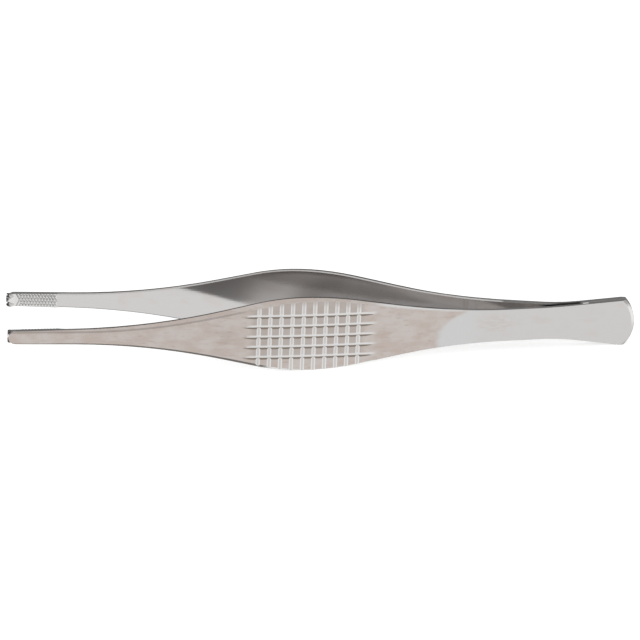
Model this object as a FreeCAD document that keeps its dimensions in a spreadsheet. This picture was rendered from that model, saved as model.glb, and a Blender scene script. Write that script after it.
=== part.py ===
import FreeCAD, Part
import math
import os

import Sketcher
from FreeCAD import Placement, Rotation, Vector

# Tissue forceps: two forged stainless arms welded face to face at the heel.
# Each arm is built in its own frame: the heel end is at the origin, the length
# runs along +X, the outer face looks towards +Y and the width lies along Z.

# Driving sizes in millimetres and degrees. A station is a distance from the heel end.
SIZES = [
    ("overall_length", 178.0, "heel end to tips"),
    ("weld_length", 13.0, "stretch where the arms are joined"),
    ("heel_thickness", 1.45, "one arm at the weld"),
    ("spring_thickness", 1.25, "one arm where it bends in use"),
    ("grip_thickness", 1.6, "one arm from the grip forwards"),
    ("relief_end", 56.5, "front end of the thinned spring stretch"),
    ("root_radius", 92.0, "bend where the arms part"),
    ("spring_angle", 6.88, "slope of the spring stretch"),
    ("bow_corner", 94.6, "where the spring and front lines would meet"),
    ("bow_radius", 360.0, "inner face along the grip"),
    ("front_angle", 1.95, "slope from the grip to the jaw"),
    ("heel_half_width", 7.0, "heel corner from the middle line"),
    ("heel_end_radius", 10.4, "rounded end of the heel"),
    ("heel_taper", 6.42, "slope of the heel's sides"),
    ("waist_radius", 96.0, "between the heel and the spring stretch"),
    ("spring_half_width", 4.86, "half width of the spring stretch"),
    ("shoulder_radius", 178.0, "between the spring stretch and the grip"),
    ("rear_flank_angle", 10.2, "side of the grip behind its widest point"),
    ("grip_half_width", 11.15, "half width at the widest point"),
    ("grip_station", 94.5, "widest point of the grip"),
    ("grip_rear_radius", 85.0, "side of the grip behind the widest point"),
    ("grip_front_radius", 60.0, "side of the grip ahead of the widest point"),
    ("front_flank_angle", 13.2, "side of the grip ahead of its widest point"),
    ("neck_radius", 195.0, "between the grip and the jaw"),
    ("tip_half_width", 1.88, "half width of the tip"),
    ("jaw_taper", 0.9, "slope of the jaw's sides"),
    ("tip_corner_radius", 0.5, "rounded corners of the tip"),
    ("jaw_station", 163.4, "rear end of the serrated jaw face"),
    ("jaw_raise", 0.16, "jaw face above the arm's inner face"),
    ("jaw_ramp", 0.8, "length of the slope up to the jaw face"),
    ("tooth_length", 2.4, "toothed end of the jaw"),
    ("tooth_height", 0.95, "crest of a tooth above the jaw face"),
    ("tooth_crest", 0.3, "flat length of a crest"),
    ("tooth_flank", 33.0, "half angle of a tooth"),
    ("serration_pitch", 0.87, "spacing of the jaw grooves along the jaw"),
    ("serration_width", 0.54, "one jaw groove"),
    ("serration_depth", 0.15, "one jaw groove"),
    ("serration_lean", 25.0, "lean of the jaw grooves"),
    ("groove_pitch", 3.15, "spacing of the grip grooves"),
    ("cross_groove_width", 1.36, "grooves across the grip"),
    ("cross_groove_floor", 0.5, "flat bottom of the grooves across the grip"),
    ("cross_groove_depth", 0.25, "grooves across the grip"),
    ("long_groove_width", 1.04, "grooves along the grip"),
    ("long_groove_depth", 0.34, "grooves along the grip"),
    ("long_groove_overrun", 1.0, "full depth beyond the outermost cross grooves"),
    ("long_cutter_radius", 24.0, "wheel that leaves the run-out at each groove's ends"),
    ("groove_station", 93.4, "middle of the grooved patch"),
    ("groove_shift", 0.6, "grooved patch below the middle line"),
    ("bevel_angle", 25.0, "ground bevels beside the outer face"),
    ("heel_bevel_width", 0.85, "bevel along the rounded heel end"),
    ("heel_bevel_depth", 0.45, "bevel along the rounded heel end"),
    ("nose_end_radius", 2.1, "rounded outer face at the tip"),
    ("nose_bevel_width", 0.25, "steep bevel along that rounding"),
    ("nose_bevel_depth", 1.1, "steep bevel along that rounding"),
    ("edge_break", 0.3, "broken long edges of the inner face"),
    ("bevel_tip", 0.65, "upper bevel at the tip"),
    ("bevel_jaw", 0.77, "upper bevel at the rear of the jaw face"),
    ("bevel_neck", 1.1, "upper bevel at the front of the neck"),
    ("bevel_throat", 1.38, "upper bevel at the rear of the neck"),
    ("bevel_shoulder", 1.65, "upper bevel ahead of the grip"),
    ("bevel_grip", 1.25, "upper bevel at the widest point"),
    ("bevel_flank", 0.8, "upper bevel behind the widest point"),
    ("bevel_spring", 0.5, "upper bevel at the front of the spring stretch"),
]

# Stations of the ground bevel: size, anchor, distance ahead of the anchor, and the
# lower bevel's width as a share of the upper one's.
BEVEL_STATIONS = [
    ("bevel_tip", "overall_length", 1.5, 0.45),
    ("bevel_jaw", "jaw_station", 0.0, 0.45),
    ("bevel_neck", "jaw_station", -16.0, 0.45),
    ("bevel_throat", "jaw_station", -32.0, 0.45),
    ("bevel_shoulder", "grip_station", 17.5, 0.5),
    ("bevel_grip", "grip_station", 0.0, 0.35),
    ("bevel_flank", "grip_station", -18.5, 0.4),
    ("bevel_spring", "relief_end", 2.0, 0.4),
]
# The bevel fades out this far behind the relief, and its cutter starts there.
BEVEL_FADE = 15.0

CROSS_GROOVES = 10
LONG_GROOVES = 5
OVERCUT = 1.0
SHALLOW_OVERCUT = 0.3
SLIGHT_OVERCUT = 0.1
CLEAR_OF_ARM = 16.0

doc = FreeCAD.newDocument("tissue_forceps")
sheet = doc.addObject("Spreadsheet::Sheet", "Sizes")


def fill_sheet():
    """Write every driving size, and the sizes that follow from them."""
    for row, (name, value, meaning) in enumerate(SIZES, start=1):
        sheet.set(f"A{row}", meaning)
        sheet.set(f"B{row}", str(value))
        sheet.setAlias(f"B{row}", name)
    derived = [
        ("groove_step", "=groove_pitch / (bow_radius + grip_thickness) * 180 / pi"),
        ("tooth_half_pitch", "=2 * tooth_height * tan(tooth_flank)"),
    ]
    for row, (name, formula) in enumerate(derived, start=len(SIZES) + 1):
        sheet.set(f"B{row}", formula)
        sheet.setAlias(f"B{row}", name)
    doc.recompute()


def size(name):
    """The value of one cell."""
    return float(sheet.get(name))


def slope(name):
    """The tangent of one angle of the sheet."""
    return math.tan(math.radians(size(name)))


def origin_part(body, role):
    """One of a body's own origin planes."""
    return [item for item in body.Origin.OriginFeatures if item.Role == role][0]


def new_sketch(body, name, role, offset=None):
    """A sketch on an origin plane of the body, moved in that plane's own axes."""
    sketch = body.newObject("Sketcher::SketchObject", name)
    sketch.AttachmentSupport = [(origin_part(body, role), "")]
    sketch.MapMode = "FlatFace"
    if offset is not None:
        sketch.AttachmentOffset = offset
    return sketch


def constrain(sketch, kind, *where):
    return sketch.addConstraint(Sketcher.Constraint(kind, *where))


def bind(sketch, name, expression, kind, *where):
    """Add one dimension and tie it to the sheet."""
    value = float(sketch.evalExpression(expression))
    if kind == "Angle":
        value = math.radians(value)
    index = sketch.addConstraint(Sketcher.Constraint(kind, *where, value))
    sketch.renameConstraint(index, name)
    sketch.setExpression(f"Constraints.{name}", expression)


def point_on(sketch, x, y):
    """A construction point; returns its geometry index."""
    return sketch.addGeometry(Part.Point(Vector(x, y, 0)), True)


def heading(piece, at_end):
    """Direction of travel at one end of a line or arc."""
    centre, start, end = piece
    if centre is None:
        return (end - start).normalize()
    radius = (end if at_end else start) - centre
    turn = (start - centre).cross(end - centre).z
    side = 1 if turn > 0 else -1
    return Vector(-radius.y * side, radius.x * side, 0).normalize()


def add_loop(sketch, pieces):
    """Draw a closed run of lines and short arcs, tangent where they meet smoothly.

    Each piece is (centre or None, start, end). Returns (geometry index, position
    of its start, position of its end) for each piece.
    """
    places = []
    for centre, start, end in pieces:
        if centre is None:
            index = sketch.addGeometry(Part.LineSegment(start, end), False)
            places.append((index, 1, 2))
            continue
        from_angle = math.atan2(start.y - centre.y, start.x - centre.x)
        to_angle = math.atan2(end.y - centre.y, end.x - centre.x)
        circle = Part.Circle(centre, Vector(0, 0, 1), (start - centre).Length)
        turn = (to_angle - from_angle) % (2 * math.pi)
        if turn < math.pi:
            arc = Part.ArcOfCircle(circle, from_angle, from_angle + turn)
            places.append((sketch.addGeometry(arc, False), 1, 2))
        else:
            arc = Part.ArcOfCircle(circle, to_angle, to_angle + 2 * math.pi - turn)
            places.append((sketch.addGeometry(arc, False), 2, 1))
    for i, piece in enumerate(pieces):
        before = pieces[i - 1]
        smooth = heading(before, True).getAngle(heading(piece, False)) < 1e-6
        index, start_at, _ = places[i]
        index_before, _, end_at = places[i - 1]
        kind = "Tangent" if smooth else "Coincident"
        constrain(sketch, kind, index_before, end_at, index, start_at)
    return places


def rounded(before, corner, after, radius):
    """Arc of a given radius that rounds a corner: (centre, start, end)."""
    back = (before - corner).normalize()
    ahead = (after - corner).normalize()
    half = back.getAngle(ahead) / 2
    start = corner + back * (radius / math.tan(half))
    end = corner + ahead * (radius / math.tan(half))
    centre = corner + (back + ahead).normalize() * (radius / math.sin(half))
    return centre, start, end


def crossing(point, direction, other, other_direction):
    """Where two lines in the XY plane meet."""
    gap = other - point
    along = gap.cross(other_direction).z / direction.cross(other_direction).z
    return point + direction * along


def unit(angle):
    return Vector(math.cos(math.radians(angle)), math.sin(math.radians(angle)), 0)


def side_corners():
    """Corners of the arm's side profile, before rounding."""
    spring = unit(size("spring_angle"))
    front = unit(size("front_angle"))
    spring_out = Vector(-spring.y, spring.x, 0)
    front_out = Vector(-front.y, front.x, 0)
    level = Vector(1, 0, 0)
    upright = Vector(0, 1, 0)
    corner = {}
    lead = size("root_radius") * math.tan(math.radians(size("spring_angle") / 2))
    corner["root"] = Vector(size("weld_length") + lead, 0, 0)
    corner["bow"] = crossing(corner["root"], spring, Vector(size("bow_corner"), 0, 0), upright)
    jaw = crossing(corner["bow"], front, Vector(size("jaw_station"), 0, 0), upright)
    corner["jaw_foot"] = jaw
    raised = corner["bow"] - front_out * size("jaw_raise")
    step = Vector(size("jaw_station") + size("jaw_ramp"), 0, 0)
    corner["jaw_top"] = crossing(raised, front, step, upright)
    toothed = Vector(size("overall_length") - size("tooth_length"), 0, 0)
    corner["tooth_foot"] = crossing(raised, front, toothed, upright)
    crest = raised - front_out * size("tooth_height")
    crest_start = Vector(size("overall_length") - size("tooth_crest"), 0, 0)
    corner["crest"] = crossing(crest, front, crest_start, upright)
    past_tip = Vector(size("overall_length") + OVERCUT, 0, 0)
    corner["end_in"] = crossing(crest, front, past_tip, upright)
    outer_front = corner["bow"] + front_out * size("grip_thickness")
    corner["end_out"] = crossing(outer_front, front, past_tip, upright)
    outer_spring = corner["root"] + spring_out * size("spring_thickness")
    relief = Vector(size("relief_end"), 0, 0)
    corner["relief"] = crossing(outer_spring, spring, relief, upright)
    heel_top = Vector(0, size("heel_thickness"), 0)
    corner["root_out"] = crossing(outer_spring, spring, heel_top, level)
    centre, _, _ = rounded(corner["root"], corner["bow"], jaw, size("bow_radius"))
    corner["bow_centre"] = centre
    reach = centre - corner["relief"]
    outer_radius = size("bow_radius") + size("grip_thickness")
    lift = math.degrees(math.asin(outer_radius / reach.Length))
    rise = lift + math.degrees(math.atan2(reach.y, reach.x))
    corner["bow_out"] = crossing(corner["relief"], unit(rise), outer_front, front)
    return corner


def side_profile(body):
    """The arm seen from the side: flat heel, spring stretch, bowed grip, jaw and tooth."""
    c = side_corners()
    sketch = new_sketch(body, "side_profile", "XY_Plane")
    start_in = Vector(-OVERCUT, 0, 0)
    start_out = Vector(-OVERCUT, size("heel_thickness"), 0)
    outer_bow = size("bow_radius") + size("grip_thickness")
    outer_root = size("root_radius") - size("heel_thickness")
    root = rounded(start_in, c["root"], c["bow"], size("root_radius"))
    bow = rounded(c["root"], c["bow"], c["jaw_foot"], size("bow_radius"))
    bow_out = rounded(c["end_out"], c["bow_out"], c["relief"], outer_bow)
    root_out = rounded(c["relief"], c["root_out"], start_out, outer_root)
    pieces = [
        (None, start_in, root[1]),
        root,
        (None, root[2], bow[1]),
        bow,
        (None, bow[2], c["jaw_foot"]),
        (None, c["jaw_foot"], c["jaw_top"]),
        (None, c["jaw_top"], c["tooth_foot"]),
        (None, c["tooth_foot"], c["crest"]),
        (None, c["crest"], c["end_in"]),
        (None, c["end_in"], c["end_out"]),
        (None, c["end_out"], bow_out[1]),
        bow_out,
        (None, bow_out[2], c["relief"]),
        (None, c["relief"], root_out[1]),
        root_out,
        (None, root_out[2], start_out),
        (None, start_out, start_in),
    ]
    names = ["heel_in", "root", "spring_in", "bow", "front_in", "step", "jaw", "ramp", "crest",
             "end", "front_out", "bow_out", "relief_out", "spring_out", "root_out", "heel_out",
             "heel_end"]
    places = add_loop(sketch, pieces)
    line = {name: place[0] for name, place in zip(names, places)}
    first = {name: place[:2] for name, place in zip(names, places)}
    last = {name: (place[0], place[2]) for name, place in zip(names, places)}
    constrain(sketch, "Horizontal", line["heel_in"])
    constrain(sketch, "PointOnObject", *first["heel_in"], -1)
    bind(sketch, "weld_length", "Sizes.weld_length", "DistanceX", -1, 1, *last["heel_in"])
    bind(sketch, "root_radius", "Sizes.root_radius", "Radius", line["root"])
    bind(sketch, "spring_angle", "Sizes.spring_angle", "Angle", line["spring_in"])
    bind(sketch, "bow_radius", "Sizes.bow_radius", "Radius", line["bow"])
    bind(sketch, "front_angle", "Sizes.front_angle", "Angle", line["front_in"])
    meeting = point_on(sketch, c["bow"].x, c["bow"].y)
    constrain(sketch, "PointOnObject", meeting, 1, line["spring_in"])
    constrain(sketch, "PointOnObject", meeting, 1, line["front_in"])
    bind(sketch, "bow_corner", "Sizes.bow_corner", "DistanceX", -1, 1, meeting, 1)
    bind(sketch, "jaw_station", "Sizes.jaw_station", "DistanceX", -1, 1, *last["front_in"])
    bind(sketch, "jaw_ramp", "Sizes.jaw_ramp", "DistanceX", *first["step"], *last["step"])
    constrain(sketch, "Parallel", line["jaw"], line["front_in"])
    bind(sketch, "jaw_raise", "Sizes.jaw_raise", "Distance", *first["jaw"], line["front_in"])
    bind(sketch, "tooth_station", "Sizes.overall_length - Sizes.tooth_length",
         "DistanceX", -1, 1, *last["jaw"])
    constrain(sketch, "Parallel", line["crest"], line["jaw"])
    bind(sketch, "tooth_height", "Sizes.tooth_height", "Distance", *first["crest"], line["jaw"])
    bind(sketch, "crest_station", "Sizes.overall_length - Sizes.tooth_crest",
         "DistanceX", -1, 1, *first["crest"])
    constrain(sketch, "Vertical", line["end"])
    bind(sketch, "end_station", f"Sizes.overall_length + {OVERCUT}",
         "DistanceX", -1, 1, *first["end"])
    constrain(sketch, "Coincident", line["bow_out"], 3, line["bow"], 3)
    constrain(sketch, "Parallel", line["front_out"], line["front_in"])
    bind(sketch, "outer_bow_radius", "Sizes.bow_radius + Sizes.grip_thickness",
         "Radius", line["bow_out"])
    bind(sketch, "relief_end", "Sizes.relief_end", "DistanceX", -1, 1, *last["relief_out"])
    constrain(sketch, "Parallel", line["spring_out"], line["spring_in"])
    bind(sketch, "spring_thickness", "Sizes.spring_thickness",
         "Distance", *first["spring_out"], line["spring_in"])
    bind(sketch, "outer_root_radius", "Sizes.root_radius - Sizes.heel_thickness",
         "Radius", line["root_out"])
    constrain(sketch, "Horizontal", line["heel_out"])
    constrain(sketch, "Vertical", line["heel_end"])
    bind(sketch, "heel_thickness", "Sizes.heel_thickness",
         "DistanceY", -1, 1, *last["heel_out"])
    return sketch


def half_outline(body):
    """The waste above the arm's outline: heel, spring stretch, broad grip and jaw."""
    sketch = new_sketch(body, "outline", "XZ_Plane")
    heel_centre = Vector(size("heel_end_radius"), 0, 0)
    heel_start = heel_centre - Vector(math.sqrt(size("heel_end_radius") ** 2 - OVERCUT ** 2),
                                      OVERCUT, 0)
    heel_run = math.sqrt(size("heel_end_radius") ** 2 - size("heel_half_width") ** 2)
    heel = Vector(size("heel_end_radius") - heel_run, size("heel_half_width"), 0)
    spring_line = Vector(0, size("spring_half_width"), 0)
    peak = Vector(size("grip_station"), size("grip_half_width"), 0)
    level = Vector(1, 0, 0)
    waist = crossing(heel, unit(-size("heel_taper")), spring_line, level)
    rear_lead = size("grip_rear_radius") * slope_of_half("rear_flank_angle")
    front_lead = size("grip_front_radius") * slope_of_half("front_flank_angle")
    rear = peak - level * rear_lead
    front = peak + level * front_lead
    shoulder = crossing(rear, unit(size("rear_flank_angle")), spring_line, level)
    tip = Vector(size("overall_length"), size("tip_half_width"), 0)
    neck = crossing(front, unit(-size("front_flank_angle")), tip, unit(-size("jaw_taper")))
    tip_end = Vector(size("overall_length"), -OVERCUT, 0)
    waist_arc = rounded(heel, waist, shoulder, size("waist_radius"))
    shoulder_arc = rounded(waist, shoulder, rear, size("shoulder_radius"))
    rear_arc = rounded(shoulder, rear, peak, size("grip_rear_radius"))
    front_arc = rounded(peak, front, neck, size("grip_front_radius"))
    neck_arc = rounded(front, neck, tip, size("neck_radius"))
    tip_arc = rounded(neck, tip, tip_end, size("tip_corner_radius"))
    past_tip = Vector(size("overall_length") + 2 * OVERCUT, -OVERCUT, 0)
    top_front = Vector(past_tip.x, CLEAR_OF_ARM, 0)
    top_rear = Vector(-2 * OVERCUT, CLEAR_OF_ARM, 0)
    past_heel = Vector(-2 * OVERCUT, -OVERCUT, 0)
    pieces = [
        (heel_centre, heel_start, heel),
        (None, heel, waist_arc[1]),
        waist_arc,
        (None, waist_arc[2], shoulder_arc[1]),
        shoulder_arc,
        (None, shoulder_arc[2], rear_arc[1]),
        (rear_arc[0], rear_arc[1], peak),
        (front_arc[0], peak, front_arc[2]),
        (None, front_arc[2], neck_arc[1]),
        neck_arc,
        (None, neck_arc[2], tip_arc[1]),
        tip_arc,
        (None, tip_arc[2], tip_end),
        (None, tip_end, past_tip),
        (None, past_tip, top_front),
        (None, top_front, top_rear),
        (None, top_rear, past_heel),
        (None, past_heel, heel_start),
    ]
    names = ["heel_end", "taper", "waist", "spring", "shoulder", "rear_flank", "rear", "front",
             "front_flank", "neck", "jaw", "corner", "tip", "below_tip", "ahead", "above",
             "behind", "below_heel"]
    places = add_loop(sketch, pieces)
    line = {name: place[0] for name, place in zip(names, places)}
    first = {name: place[:2] for name, place in zip(names, places)}
    last = {name: (place[0], place[2]) for name, place in zip(names, places)}
    constrain(sketch, "PointOnObject", line["heel_end"], 3, -1)
    bind(sketch, "heel_end_radius", "Sizes.heel_end_radius", "Radius", line["heel_end"])
    bind(sketch, "heel_centre", "Sizes.heel_end_radius", "DistanceX", -1, 1, line["heel_end"], 3)
    bind(sketch, "heel_half_width", "Sizes.heel_half_width",
         "DistanceY", -1, 1, *last["heel_end"])
    bind(sketch, "heel_taper", "-Sizes.heel_taper", "Angle", line["taper"])
    bind(sketch, "waist_radius", "Sizes.waist_radius", "Radius", line["waist"])
    constrain(sketch, "Horizontal", line["spring"])
    bind(sketch, "spring_half_width", "Sizes.spring_half_width",
         "DistanceY", -1, 1, *first["spring"])
    bind(sketch, "shoulder_radius", "Sizes.shoulder_radius", "Radius", line["shoulder"])
    bind(sketch, "rear_flank_angle", "Sizes.rear_flank_angle", "Angle", line["rear_flank"])
    bind(sketch, "grip_rear_radius", "Sizes.grip_rear_radius", "Radius", line["rear"])
    bind(sketch, "grip_front_radius", "Sizes.grip_front_radius", "Radius", line["front"])
    bind(sketch, "grip_station", "Sizes.grip_station", "DistanceX", -1, 1, *last["rear"])
    bind(sketch, "grip_half_width", "Sizes.grip_half_width", "DistanceY", -1, 1, *last["rear"])
    constrain(sketch, "Vertical", line["rear"], 3, *last["rear"])
    bind(sketch, "front_flank_angle", "-Sizes.front_flank_angle", "Angle", line["front_flank"])
    bind(sketch, "neck_radius", "Sizes.neck_radius", "Radius", line["neck"])
    bind(sketch, "jaw_taper", "-Sizes.jaw_taper", "Angle", line["jaw"])
    corner = point_on(sketch, tip.x, tip.y)
    constrain(sketch, "PointOnObject", corner, 1, line["jaw"])
    constrain(sketch, "PointOnObject", corner, 1, line["tip"])
    bind(sketch, "tip_half_width", "Sizes.tip_half_width", "DistanceY", -1, 1, corner, 1)
    bind(sketch, "tip_corner_radius", "Sizes.tip_corner_radius", "Radius", line["corner"])
    constrain(sketch, "Vertical", line["tip"])
    bind(sketch, "overall_length", "Sizes.overall_length", "DistanceX", -1, 1, *last["tip"])
    constrain(sketch, "Vertical", line["ahead"])
    constrain(sketch, "Horizontal", line["above"])
    constrain(sketch, "Vertical", line["behind"])
    for name in ("below_tip", "below_heel"):
        constrain(sketch, "Horizontal", line[name])
    return sketch


def slope_of_half(name):
    """The tangent of half an angle of the sheet."""
    return math.tan(math.radians(size(name) / 2))


def pocket(body, name, sketch, length, direction=None):
    """Cut a sketch both ways through the arm, square to it or along a direction."""
    cut = body.newObject("PartDesign::Pocket", name)
    cut.Profile = (sketch, [""])
    cut.Type = "Length"
    cut.SideType = "Symmetric"
    cut.Length = length
    if direction is not None:
        cut.UseCustomVector = True
        cut.Direction = direction
        cut.AlongSketchNormal = False
    return finish(body, cut)


def finish(body, feature):
    """Make a feature the body's tip, recompute, and make sure that it did its work."""
    before = body.Shape.Volume if not body.Shape.isNull() else 0.0
    body.Tip = feature
    doc.recompute()
    after = body.Shape.Volume
    if "Up-to-date" not in feature.State or abs(after - before) < 1e-4:
        raise RuntimeError(f"{body.Label}: {feature.Name} {feature.State} changed nothing")
    return feature


def corner_at(shape, station, side):
    """Outer corner of the arm's section at one station: (y, z)."""
    wires = shape.slice(Vector(1, 0, 0), station)
    box = Part.Compound(wires).BoundBox
    return box.YMax, (box.ZMax if side > 0 else box.ZMin)


def bevel_section(body, name, station, corner, width_expression, side):
    """Triangle that the bevel cutter passes through at one station."""
    y, z = corner
    sketch = new_sketch(body, name, "YZ_Plane", Placement(Vector(0, 0, station), Rotation()))
    width = float(sketch.evalExpression(width_expression))
    tilt = slope("bevel_angle")
    rise = OVERCUT * tilt
    drop = (width + OVERCUT) * tilt
    over_face = Vector(y + rise, z - side * (width + OVERCUT), 0)
    past_side = Vector(y - drop, z + side * OVERCUT, 0)
    above = Vector(y + rise, z + side * OVERCUT, 0)
    pieces = [(None, over_face, past_side), (None, past_side, above), (None, above, over_face)]
    places = add_loop(sketch, pieces)
    slant, level, upright = [place[0] for place in places]
    constrain(sketch, "Horizontal", level)
    constrain(sketch, "Vertical", upright)
    edge = point_on(sketch, y, z)
    foot = point_on(sketch, y, z - side * width)
    constrain(sketch, "DistanceX", -1, 1, edge, 1, y)
    constrain(sketch, "DistanceY", -1, 1, edge, 1, z)
    constrain(sketch, "Vertical", edge, 1, foot, 1)
    constrain(sketch, "PointOnObject", foot, 1, slant)
    ends = (foot, 1, edge, 1) if side > 0 else (edge, 1, foot, 1)
    bind(sketch, "bevel_width", width_expression, "DistanceY", *ends)
    return sketch


def bevel(body, side):
    """Ground bevel along one long edge of the outer face, broad on the upper edge."""
    shape = body.Shape
    where = "upper" if side * body_up(body) > 0 else "lower"
    sections = []
    for name, anchor, ahead, lower_share in BEVEL_STATIONS:
        share = lower_share if where == "lower" else 1.0
        station = size(anchor) + ahead
        sampled = min(station, size("overall_length") - size("tip_corner_radius") - OVERCUT)
        corner = corner_at(shape, sampled, side)
        if station > sampled:
            corner = (corner[0] + (station - sampled) * slope("front_angle"),
                      corner[1] - side * (station - sampled) * slope("jaw_taper"))
        sections.append(bevel_section(body, f"{where}_{name}", station, corner,
                                      f"Sizes.{name} * {share}", side))
    station = size("relief_end") - BEVEL_FADE
    sections.append(bevel_section(body, f"{where}_bevel_fade", station,
                                  corner_at(shape, station, side), "0.01", side))
    loft = body.newObject("PartDesign::SubtractiveLoft", f"{where}_bevel")
    loft.Profile = (sections[0], [""])
    loft.Sections = [(sketch, [""]) for sketch in sections[1:]]
    loft.Ruled = False
    return finish(body, loft)


def body_up(body):
    """Which way along the body's own Z points up when the forceps rests."""
    return UP[body.Label]


def break_inner_edges(body):
    """Broken long edges of the inner face, from the weld to the jaw face."""
    shape = body.Shape
    rear = size("weld_length")
    front = size("jaw_station")
    names = []
    for number, edge in enumerate(shape.Edges, start=1):
        box = edge.BoundBox
        middle = edge.valueAt((edge.FirstParameter + edge.LastParameter) / 2)
        if box.XLength < 1 or box.XMin < rear - 0.1 or box.XMax > front + 0.1:
            continue
        inner, outer = section_span(shape, middle)
        if abs(middle.y - inner) < 0.02 and outer - inner > 1:
            names.append(f"Edge{number}")
    base = body.Tip
    chamfer = body.newObject("PartDesign::Chamfer", "inner_edges")
    chamfer.Base = (base, names)
    chamfer.setExpression("Size", "Sizes.edge_break")
    return finish(body, chamfer)


def section_span(shape, point):
    """Lowest and highest y of the arm's section at a point's station."""
    box = Part.Compound(shape.slice(Vector(1, 0, 0), point.x)).BoundBox
    return box.YMin, box.YMax


def end_bevel(body, end, place, side, sweep):
    """Bevel along one rounded end, turned about the centre of its arc.

    The section's frame has its origin on the outer face, over that centre. Past the
    arc it stays at the bevel's depth, so what lies deeper keeps its own end.
    """
    sketch = new_sketch(body, f"{end}_bevel_section", "XY_Plane", place)
    radius = size(f"{end}_end_radius")
    width = size(f"{end}_bevel_width")
    depth = size(f"{end}_bevel_depth")
    fall = depth / width
    inside = Vector(side * (radius - width - SHALLOW_OVERCUT / fall), SHALLOW_OVERCUT, 0)
    foot = Vector(side * radius, -depth, 0)
    outside = Vector(side * (radius + OVERCUT), -depth, 0)
    above = Vector(outside.x, inside.y, 0)
    corners = [inside, above, outside, foot]
    places = add_loop(sketch, [(None, a, b) for a, b in zip(corners, corners[1:] + corners[:1])])
    level, upright, shelf, slant = [place[0] for place in places]
    constrain(sketch, "Horizontal", level)
    constrain(sketch, "Vertical", upright)
    constrain(sketch, "Horizontal", shelf)
    constrain(sketch, "DistanceY", -1, 1, *places[0][:2], SHALLOW_OVERCUT)
    constrain(sketch, "DistanceX", *across(side, places[1][:2]), radius + OVERCUT)
    upper = point_on(sketch, side * (radius - width), 0)
    constrain(sketch, "PointOnObject", upper, 1, -1)
    constrain(sketch, "PointOnObject", upper, 1, slant)
    bind(sketch, "upper_reach", f"Sizes.{end}_end_radius - Sizes.{end}_bevel_width",
         "DistanceX", *across(side, (upper, 1)))
    bind(sketch, "lower_reach", f"Sizes.{end}_end_radius",
         "DistanceX", *across(side, places[3][:2]))
    bind(sketch, "depth", f"Sizes.{end}_bevel_depth", "DistanceY", *places[3][:2], -1, 1)
    groove = body.newObject("PartDesign::Groove", f"{end}_bevel")
    groove.Profile = (sketch, [""])
    groove.ReferenceAxis = (sketch, ["V_Axis"])
    groove.Midplane = True
    groove.Angle = sweep
    return finish(body, groove)


def across(side, point):
    """A point and the sketch's origin, in the order that keeps a distance positive."""
    return (-1, 1, *point) if side > 0 else (*point, -1, 1)


def heel_bevel(body):
    """Bevel along the rounded heel end."""
    radius = size("heel_end_radius")
    place = Placement(Vector(radius, size("heel_thickness"), 0), Rotation())
    half_sweep = math.degrees(math.asin(size("heel_half_width") / radius))
    end_bevel(body, "heel", place, -1, 2 * half_sweep + 8)


def nose_bevel(body):
    """Rounded end of the outer face at the tip, which leaves the inner corners square."""
    front = unit(size("front_angle"))
    station = Vector(size("overall_length") - size("nose_end_radius"), 0, 0)
    on_face = crossing(side_corners()["end_out"], front, station, Vector(0, 1, 0))
    turned = Rotation(Vector(0, 0, 1), size("front_angle"))
    end_bevel(body, "nose", Placement(on_face, turned), 1, 180)


def cross_grooves(body):
    """Flat-bottomed grooves across the grip, square to the bowed face."""
    centre = side_corners()["bow_centre"]
    outer = size("bow_radius") + size("grip_thickness")
    swing = math.degrees(math.asin((centre.x - size("groove_station")) / outer))
    first = swing - size("groove_step") * (CROSS_GROOVES - 1) / 2
    turned = Rotation(Vector(0, 0, 1), first)
    sketch = new_sketch(body, "cross_groove_section", "XY_Plane", Placement(centre, turned))
    depth = size("cross_groove_depth")
    half_floor = size("cross_groove_floor") / 2
    half_width = size("cross_groove_width") / 2
    half_top = half_width + (half_width - half_floor) * SHALLOW_OVERCUT / depth
    low_left = Vector(-half_floor, outer - depth, 0)
    low_right = Vector(half_floor, outer - depth, 0)
    top_right = Vector(half_top, outer + SHALLOW_OVERCUT, 0)
    top_left = Vector(-half_top, outer + SHALLOW_OVERCUT, 0)
    corners = [low_left, low_right, top_right, top_left]
    places = add_loop(sketch, [(None, a, b) for a, b in zip(corners, corners[1:] + corners[:1])])
    floor, flank, top = places[0][0], places[1][0], places[2][0]
    for level in (floor, top):
        constrain(sketch, "Symmetric", level, 1, level, 2, -2)
    bind(sketch, "reach", "Sizes.bow_radius + Sizes.grip_thickness - Sizes.cross_groove_depth",
         "DistanceY", -1, 1, floor, 1)
    bind(sketch, "floor", "Sizes.cross_groove_floor", "DistanceX", floor, 1, floor, 2)
    bind(sketch, "top", f"Sizes.bow_radius + Sizes.grip_thickness + {SHALLOW_OVERCUT}",
         "DistanceY", -1, 1, top, 1)
    edge = point_on(sketch, half_width, outer)
    constrain(sketch, "PointOnObject", edge, 1, flank)
    bind(sketch, "edge_reach", "Sizes.bow_radius + Sizes.grip_thickness",
         "DistanceY", -1, 1, edge, 1)
    bind(sketch, "half_width", "Sizes.cross_groove_width / 2", "DistanceX", -1, 1, edge, 1)
    first_groove = pocket(body, "cross_groove", sketch, 2 * CLEAR_OF_ARM)
    pattern = body.newObject("PartDesign::PolarPattern", "cross_grooves")
    pattern.Originals = [first_groove]
    pattern.Axis = (sketch, ["N_Axis"])
    pattern.Mode = "Extent"
    pattern.setExpression("Angle", f"Sizes.groove_step * {CROSS_GROOVES - 1}")
    pattern.Occurrences = CROSS_GROOVES
    return finish(body, pattern)


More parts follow.
